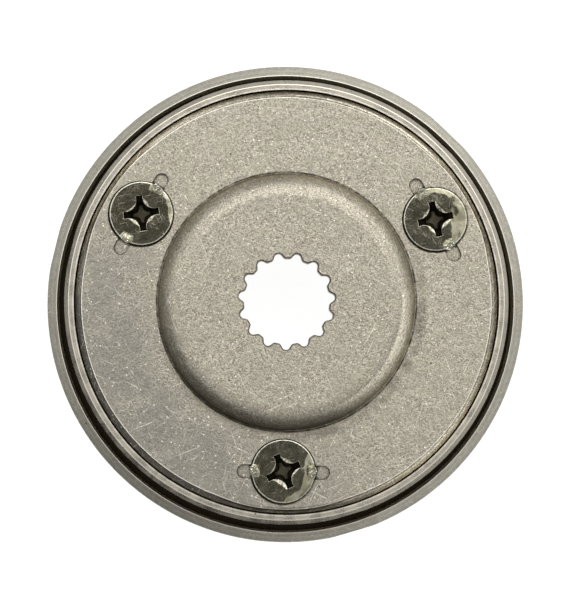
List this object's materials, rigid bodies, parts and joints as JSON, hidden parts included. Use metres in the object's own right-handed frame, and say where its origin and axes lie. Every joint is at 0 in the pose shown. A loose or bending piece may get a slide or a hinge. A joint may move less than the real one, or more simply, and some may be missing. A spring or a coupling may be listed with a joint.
{
  "type": "sprag clutch",
  "caption": "Starter sprag clutch: splined cover plate with a domed centre on a turned outer race housing, with a sprag insert and an inner race behind it.",
  "frame": {"origin": "on the clutch axis, at the flat rear face that the clutch rests on", "axes": "+Z along the clutch axis, out of the domed cover plate; +X passes between two cover screws"},
  "size_m": [0.0864, 0.0864, 0.0236],
  "materials": {
    "housing_steel": "turned, oiled",
    "sleeve_steel": "ground, satin",
    "plate_steel": "tumbled, matte",
    "screw_steel": "black passivated, oiled",
    "race_steel": "hardened and ground",
    "sprag_steel": "hardened, polished",
    "cage_steel": "drawn, satin",
    "spring_steel": "tempered, oiled"
  },
  "bodies": {
    "housing": {"clutch_housing": "housing_steel", "outer_sleeve": "sleeve_steel", "cover_plate": "plate_steel", "cover_screw_1": "screw_steel", "cover_screw_2": "screw_steel", "cover_screw_3": "screw_steel", "retaining_ring": "spring_steel"},
    "inner_race": {"inner_race": "race_steel"},
    "sprag_cage": {"outer_cage": "cage_steel", "ribbon_spring": "spring_steel", "drag_clip_1": "spring_steel", "drag_clip_2": "spring_steel", "drag_clip_3": "spring_steel"},
    "phasing_cage": {"inner_cage": "cage_steel"},
    "sprag_01": {"sprag_01": "sprag_steel"},
    "sprag_02": {"sprag_02": "sprag_steel"},
    "sprag_03": {"sprag_03": "sprag_steel"},
    "sprag_04": {"sprag_04": "sprag_steel"},
    "sprag_05": {"sprag_05": "sprag_steel"},
    "sprag_06": {"sprag_06": "sprag_steel"},
    "sprag_07": {"sprag_07": "sprag_steel"},
    "sprag_08": {"sprag_08": "sprag_steel"},
    "sprag_09": {"sprag_09": "sprag_steel"},
    "sprag_10": {"sprag_10": "sprag_steel"},
    "sprag_11": {"sprag_11": "sprag_steel"},
    "sprag_12": {"sprag_12": "sprag_steel"},
    "sprag_13": {"sprag_13": "sprag_steel"},
    "sprag_14": {"sprag_14": "sprag_steel"}
  },
  "joints": [
    {"name": "inner_race_spin", "type": "hinge", "parent": "housing", "child": "inner_race", "pos_m": [0, 0, 0.00813], "axis": [0, 0, 1], "continuous": true},
    {"name": "sprag_cage_spin", "type": "hinge", "parent": "housing", "child": "sprag_cage", "pos_m": [0, 0, 0.0092], "axis": [0, 0, 1], "continuous": true},
    {"name": "sprag_tilt_01", "type": "hinge", "parent": "sprag_cage", "child": "sprag_01", "pos_m": [0.02004, 0, 0.0092], "axis": [0, 0, 1], "range_deg": [-6, 0], "stiffness_Nm_per_rad": 0.0002, "springref_deg": 2.86},
    {"name": "sprag_tilt_02", "type": "hinge", "parent": "sprag_cage", "child": "sprag_02", "pos_m": [0.01806, 0.00869, 0.0092], "axis": [0, 0, 1], "range_deg": [-6, 0], "stiffness_Nm_per_rad": 0.0002, "springref_deg": 2.86},
    {"name": "sprag_tilt_03", "type": "hinge", "parent": "sprag_cage", "child": "sprag_03", "pos_m": [0.01249, 0.01567, 0.0092], "axis": [0, 0, 1], "range_deg": [-6, 0], "stiffness_Nm_per_rad": 0.0002, "springref_deg": 2.86},
    {"name": "sprag_tilt_04", "type": "hinge", "parent": "sprag_cage", "child": "sprag_04", "pos_m": [0.00446, 0.01954, 0.0092], "axis": [0, 0, 1], "range_deg": [-6, 0], "stiffness_Nm_per_rad": 0.0002, "springref_deg": 2.86},
    {"name": "sprag_tilt_05", "type": "hinge", "parent": "sprag_cage", "child": "sprag_05", "pos_m": [-0.00446, 0.01954, 0.0092], "axis": [0, 0, 1], "range_deg": [-6, 0], "stiffness_Nm_per_rad": 0.0002, "springref_deg": 2.86},
    {"name": "sprag_tilt_06", "type": "hinge", "parent": "sprag_cage", "child": "sprag_06", "pos_m": [-0.01249, 0.01567, 0.0092], "axis": [0, 0, 1], "range_deg": [-6, 0], "stiffness_Nm_per_rad": 0.0002, "springref_deg": 2.86},
    {"name": "sprag_tilt_07", "type": "hinge", "parent": "sprag_cage", "child": "sprag_07", "pos_m": [-0.01806, 0.00869, 0.0092], "axis": [0, 0, 1], "range_deg": [-6, 0], "stiffness_Nm_per_rad": 0.0002, "springref_deg": 2.86},
    {"name": "sprag_tilt_08", "type": "hinge", "parent": "sprag_cage", "child": "sprag_08", "pos_m": [-0.02004, 0, 0.0092], "axis": [0, 0, 1], "range_deg": [-6, 0], "stiffness_Nm_per_rad": 0.0002, "springref_deg": 2.86},
    {"name": "sprag_tilt_09", "type": "hinge", "parent": "sprag_cage", "child": "sprag_09", "pos_m": [-0.01806, -0.00869, 0.0092], "axis": [0, 0, 1], "range_deg": [-6, 0], "stiffness_Nm_per_rad": 0.0002, "springref_deg": 2.86},
    {"name": "sprag_tilt_10", "type": "hinge", "parent": "sprag_cage", "child": "sprag_10", "pos_m": [-0.01249, -0.01567, 0.0092], "axis": [0, 0, 1], "range_deg": [-6, 0], "stiffness_Nm_per_rad": 0.0002, "springref_deg": 2.86},
    {"name": "sprag_tilt_11", "type": "hinge", "parent": "sprag_cage", "child": "sprag_11", "pos_m": [-0.00446, -0.01954, 0.0092], "axis": [0, 0, 1], "range_deg": [-6, 0], "stiffness_Nm_per_rad": 0.0002, "springref_deg": 2.86},
    {"name": "sprag_tilt_12", "type": "hinge", "parent": "sprag_cage", "child": "sprag_12", "pos_m": [0.00446, -0.01954, 0.0092], "axis": [0, 0, 1], "range_deg": [-6, 0], "stiffness_Nm_per_rad": 0.0002, "springref_deg": 2.86},
    {"name": "sprag_tilt_13", "type": "hinge", "parent": "sprag_cage", "child": "sprag_13", "pos_m": [0.01249, -0.01567, 0.0092], "axis": [0, 0, 1], "range_deg": [-6, 0], "stiffness_Nm_per_rad": 0.0002, "springref_deg": 2.86},
    {"name": "sprag_tilt_14", "type": "hinge", "parent": "sprag_cage", "child": "sprag_14", "pos_m": [0.01806, -0.00869, 0.0092], "axis": [0, 0, 1], "range_deg": [-6, 0], "stiffness_Nm_per_rad": 0.0002, "springref_deg": 2.86},
    {"name": "phasing_cage_turn", "type": "hinge", "parent": "sprag_cage", "child": "phasing_cage", "pos_m": [0, 0, 0.0092], "axis": [0, 0, 1], "range_deg": [0, 0.77]}
  ],
  "couplings": [
    {"joint": "sprag_tilt_02", "follows": "sprag_tilt_01", "ratio": 1},
    {"joint": "sprag_tilt_03", "follows": "sprag_tilt_01", "ratio": 1},
    {"joint": "sprag_tilt_04", "follows": "sprag_tilt_01", "ratio": 1},
    {"joint": "sprag_tilt_05", "follows": "sprag_tilt_01", "ratio": 1},
    {"joint": "sprag_tilt_06", "follows": "sprag_tilt_01", "ratio": 1},
    {"joint": "sprag_tilt_07", "follows": "sprag_tilt_01", "ratio": 1},
    {"joint": "sprag_tilt_08", "follows": "sprag_tilt_01", "ratio": 1},
    {"joint": "sprag_tilt_09", "follows": "sprag_tilt_01", "ratio": 1},
    {"joint": "sprag_tilt_10", "follows": "sprag_tilt_01", "ratio": 1},
    {"joint": "sprag_tilt_11", "follows": "sprag_tilt_01", "ratio": 1},
    {"joint": "sprag_tilt_12", "follows": "sprag_tilt_01", "ratio": 1},
    {"joint": "sprag_tilt_13", "follows": "sprag_tilt_01", "ratio": 1},
    {"joint": "sprag_tilt_14", "follows": "sprag_tilt_01", "ratio": 1},
    {"joint": "phasing_cage_turn", "follows": "sprag_tilt_01", "ratio": -0.12743}
  ]
}
